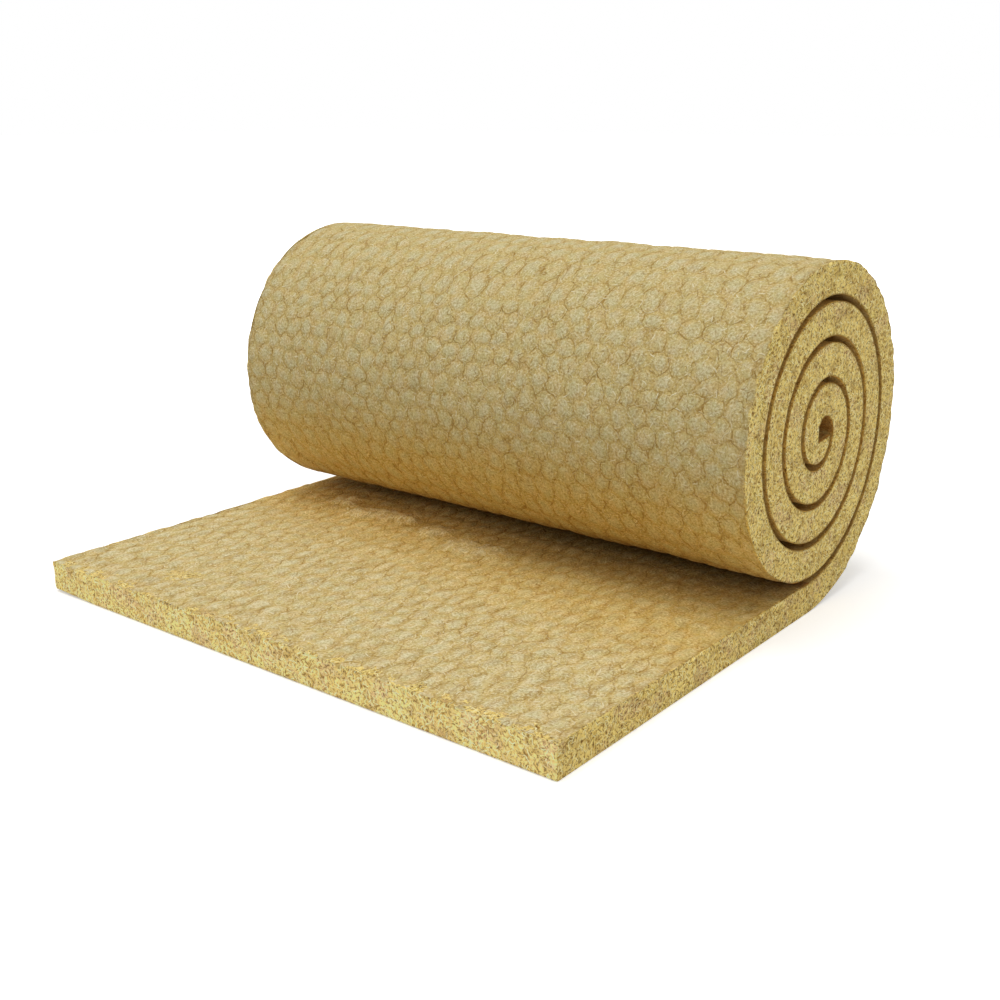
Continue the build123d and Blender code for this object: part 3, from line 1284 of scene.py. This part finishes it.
@dataclass
class LooseFibres:
    """Loose fibres that stand off the wool: one bowed strand, strewn over cuts, tufts and faces."""

    carrier: Piece
    tufts: Tufts
    length: float = 0.011
    thickness: float = 0.0008
    bow: float = 1.1  # radians from end to end
    steps: int = 5
    on_cuts: float = 3600.0  # strands on a square metre
    on_faces: float = 200.0
    on_tufts: float = 4000.0
    seed: int = 7
    taper: float = 0.35  # width of a strand's ends, of its middle's
    turns: tuple = ((-0.5, -0.34, 0.0), (0.5, 0.34, math.tau))  # least and most, in radians
    scales: tuple = ((0.5, 0.3, 0.7), (1.25, 1.7, 1.2))  # least and most
    tones: tuple = ((0.0, 0.0, 0.0), (1.0, 1.0, 1.0))  # least and most

    def build(self, finish: Material) -> Piece:
        """Model one strand and strew it over the mat.

        Args:
            finish: The strand's material.

        Returns:
            All the strands as one mesh.
        """
        strand = self.model_strand()
        settle_order(strand)
        strand.data.materials.append(finish)
        self.strew(strand)
        return strand

    def model_strand(self) -> Piece:
        """Model one strand: a thin three-sided rod, spun into a bow and drawn out thin at both ends.

        Returns:
            The strand, lying flat at the origin.
        """
        radius = self.length / self.bow
        middle = Vector((0.0, -radius, 0.0))
        deselect_all()
        bpy.ops.mesh.primitive_circle_add(
            vertices=3, radius=self.thickness / 2, fill_type="NGON", rotation=(0, QUARTER, 0)
        )
        strand = bpy.context.object
        strand.name = "loose_fibres"
        strand.data.name = "loose_fibres"
        bpy.ops.object.transform_apply(location=True, rotation=True, scale=True)
        bpy.ops.object.mode_set(mode="EDIT")
        bpy.ops.mesh.select_all(action="SELECT")
        bpy.ops.mesh.spin(steps=self.steps, angle=self.bow, center=middle, axis=(0, 0, 1))
        weld()
        ends = self.find_ends(strand)
        for end in ends:
            pick(strand, Pick.VERTS, lambda v: (v.co - end).length < self.thickness)
            bpy.ops.transform.resize(value=(self.taper,) * 3, center_override=end)
        bpy.ops.mesh.select_all(action="SELECT")
        bpy.ops.transform.translate(value=-(ends[0] + ends[1]) / 2)
        bpy.ops.object.mode_set(mode="OBJECT")
        bpy.ops.object.shade_smooth()
        return strand

    def find_ends(self, strand: Piece) -> tuple[Vector, Vector]:
        """Find the middles of the strand's two ends.

        Args:
            strand: The strand, in edit mode, with its first end at the origin.

        Returns:
            The two middles.
        """
        shape = bmesh.from_edit_mesh(strand.data)
        furthest = max(vert.co.length for vert in shape.verts)
        tip = [vert.co for vert in shape.verts if vert.co.length > furthest - self.thickness]
        return Vector((0.0, 0.0, 0.0)), sum(tip, Vector((0.0, 0.0, 0.0))) / len(tip)

    def strew(self, strand: Piece) -> None:
        """Strew the strand over the mat, each copy turned, tilted and sized by chance.

        Args:
            strand: The strand, which becomes all of them.
        """
        desk, given, made = new_modifier_tree("strewn_fibres")
        mat = desk.wire("GeometryNodeObjectInfo", {"Object": self.carrier}, transform_space="ORIGINAL")
        place = read_attribute(desk, "sheet", "FLOAT_VECTOR")
        pressed = read_attribute(desk, "pressed", "FLOAT")
        plucked = desk.times(self.tufts.lay(desk, place), self.on_tufts)
        on_face = desk.times(desk.plus(plucked, self.on_faces), pressed)
        on_cut = desk.times(read_attribute(desk, "torn", "FLOAT"), self.on_cuts)
        inputs = {"Mesh": mat["Geometry"], "Density": desk.plus(on_face, on_cut), "Seed": self.seed}
        scatter = desk.wire("GeometryNodeDistributePointsOnFaces", inputs, distribute_method="RANDOM")
        inputs = {"Rotation": scatter["Rotation"], "Rotate By": self.chance(desk, *self.turns, 1)}
        turn = desk.wire("FunctionNodeRotateRotation", inputs, rotation_space="LOCAL")
        inputs = {"Points": scatter["Points"], "Instance": given.outputs["Geometry"]}
        inputs |= {"Rotation": turn["Rotation"], "Scale": self.chance(desk, *self.scales, 2)}
        copies = desk.wire("GeometryNodeInstanceOnPoints", inputs)
        inputs = {"Geometry": copies["Instances"], "Name": "tone", "Value": self.chance(desk, *self.tones, 3)}
        toned = desk.wire(
            "GeometryNodeStoreNamedAttribute", inputs, data_type="FLOAT_VECTOR", domain="INSTANCE"
        )
        real = desk.wire("GeometryNodeRealizeInstances", {"Geometry": toned["Geometry"]})
        desk.feed(made.inputs["Geometry"], real["Geometry"])
        apply_tree(strand, desk.tree)

    def chance(self, desk: NodeDesk, low: tuple, high: tuple, draw: int) -> Socket:
        """Draw a vector for each strand, from least to most, by a draw of its own number."""
        inputs = {0: low, 1: high, "Seed": self.seed + draw}
        return desk.wire("FunctionNodeRandomValue", inputs, data_type="FLOAT_VECTOR")[0]


@dataclass(frozen=True)
class FibreFinish:
    """Finish of the loose fibres, from amber to cream by chance."""

    amber: tuple = paint(206, 168, 84)
    cream: tuple = paint(248, 224, 148)

    def build(self) -> Material:
        """Make the material.

        Returns:
            The material.
        """
        material, desk, shader, _ = wool_material("loose_wool")
        tone = desk.add("ShaderNodeAttribute", attribute_name="tone")
        share, _, _ = desk.split(tone.outputs["Vector"])
        desk.feed(shader.inputs["Base Color"], desk.mix(desk.ease(share, 0.0, 0.7), self.amber, self.cream))
        return material


@dataclass(frozen=True)
class Studio:
    """A plain pale floor, a white dome with a soft lamp, and the camera of the photograph."""

    lens: float = 46.264
    camera_place: tuple[float, float, float] = (1.2703, -1.5534, 0.7510)
    camera_pitch: float = 17.06  # down from level, in degrees
    camera_turn: float = 38.2
    floor_size: float = 60.0
    floor_fade: tuple[float, float] = (0.9, 2.6)  # from its lit middle to plain white
    floor_glow: tuple[float, float] = (0.38, 1.0)  # what it shows by itself there
    floor_tone: tuple = (0.9, 0.9, 0.9, 1.0)
    white: tuple = (1.0, 1.0, 1.0, 1.0)
    dome: float = 0.52  # how much of full white lights the object
    lamp_power: float = 272.0
    lamp_size: float = 5.0
    lamp_place: tuple[float, float, float] = (-0.2, -0.7, 7.0)

    def set_camera(self) -> None:
        """Put the camera at the photograph's viewing angle."""
        data = bpy.data.cameras.new("camera")
        data.lens = self.lens
        data.sensor_width = 36.0
        data.clip_end = 200.0
        camera = bpy.data.objects.new("camera", data)
        camera.location = self.camera_place
        camera.rotation_euler = (math.radians(90 - self.camera_pitch), 0, math.radians(self.camera_turn))
        bpy.context.scene.collection.objects.link(camera)
        bpy.context.scene.camera = camera

    def lay_floor(self) -> None:
        """Lay the floor, which the camera sees as white where nothing shades it."""
        deselect_all()
        bpy.ops.mesh.primitive_plane_add(size=self.floor_size, location=(0, 0, 0))
        floor = bpy.context.object
        floor.name = "floor"
        material = bpy.data.materials.new("pale_floor")
        material.use_nodes = True
        desk = NodeDesk(material.node_tree)
        shader = material.node_tree.nodes["Principled BSDF"]
        away = desk.vector("LENGTH", desk.add("ShaderNodeTexCoord").outputs["Object"], out="Value")
        glow = desk.ease(away, *self.floor_fade, *self.floor_glow)
        glow = desk.times(self.seen_ray(desk), glow)
        desk.feed_all(shader, {"Base Color": self.floor_tone, "Roughness": 1.0, "Specular IOR Level": 0.0})
        desk.feed_all(shader, {"Emission Color": self.white, "Emission Strength": glow})
        floor.data.materials.append(material)

    @staticmethod
    def seen_ray(desk: NodeDesk) -> Socket:
        """Tell rays that show the background from those that light the object.

        Args:
            desk: The tree that the nodes go into.

        Returns:
            1 for camera, glossy and transmitted rays, and 0 for the rest.
        """
        path = desk.add("ShaderNodeLightPath")
        seen = desk.most(path.outputs["Is Camera Ray"], path.outputs["Is Glossy Ray"])
        return desk.most(seen, path.outputs["Is Transmission Ray"])

    def set_dome(self) -> None:
        """Set up the white dome, which the camera sees at full white."""
        world = bpy.data.worlds.new("studio")
        bpy.context.scene.world = world
        world.use_nodes = True
        desk = NodeDesk(world.node_tree)
        shader = world.node_tree.nodes["Background"]
        level = desk.plus(self.dome, desk.times(self.seen_ray(desk), 1 - self.dome))
        desk.feed_all(shader, {"Color": self.white, "Strength": level})

    def hang_lamp(self) -> None:
        """Hang one large soft lamp over the object."""
        data = bpy.data.lights.new("soft_lamp", "AREA")
        data.shape = "DISK"
        data.size = self.lamp_size
        data.energy = self.lamp_power
        lamp = bpy.data.objects.new("soft_lamp", data)
        lamp.location = self.lamp_place
        lamp.rotation_euler = (math.atan2(-self.lamp_place[1], self.lamp_place[2]), 0, 0)
        bpy.context.scene.collection.objects.link(lamp)

    def build(self) -> None:
        """Set up the whole studio."""
        self.set_camera()
        self.lay_floor()
        self.set_dome()
        self.hang_lamp()
        bpy.context.scene.view_settings.view_transform = "Standard"


def main() -> None:
    """Build the mat and the studio in order, and report each piece."""
    logging.basicConfig(level=logging.INFO, format="%(name)s: %(message)s")
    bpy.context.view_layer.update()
    low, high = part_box(NODE)
    honeycomb, tufts = Honeycomb(), Tufts()
    mat = WoundMat(Spiral(front_y=low.y), high.x - low.x, honeycomb, tufts)
    board = mat.build()
    strands = strands_group()
    grain = CutGrain().group(strands)
    finishes = (
        QuiltedFace(mat.width, tufts).build(honeycomb_group(honeycomb), strands, grain),
        CutFace("slit_wool").build(grain),
        # the front edge takes full painted light, so that it looks more lit than the cut sides
        CutFace("crosscut_wool", painted_light=1.0).build(grain),
    )
    for finish in finishes:
        board.data.materials.append(finish)
    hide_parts(NODE)
    fibres = LooseFibres(board, tufts).build(FibreFinish().build())
    for piece in (board, fibres):
        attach(piece, BODY)
        triangles = sum(len(polygon.vertices) - 2 for polygon in piece.data.polygons)
        LOG.info("%s: %d triangles", piece.name, triangles)
    Studio().build()


if __name__ == "__main__":
    main()
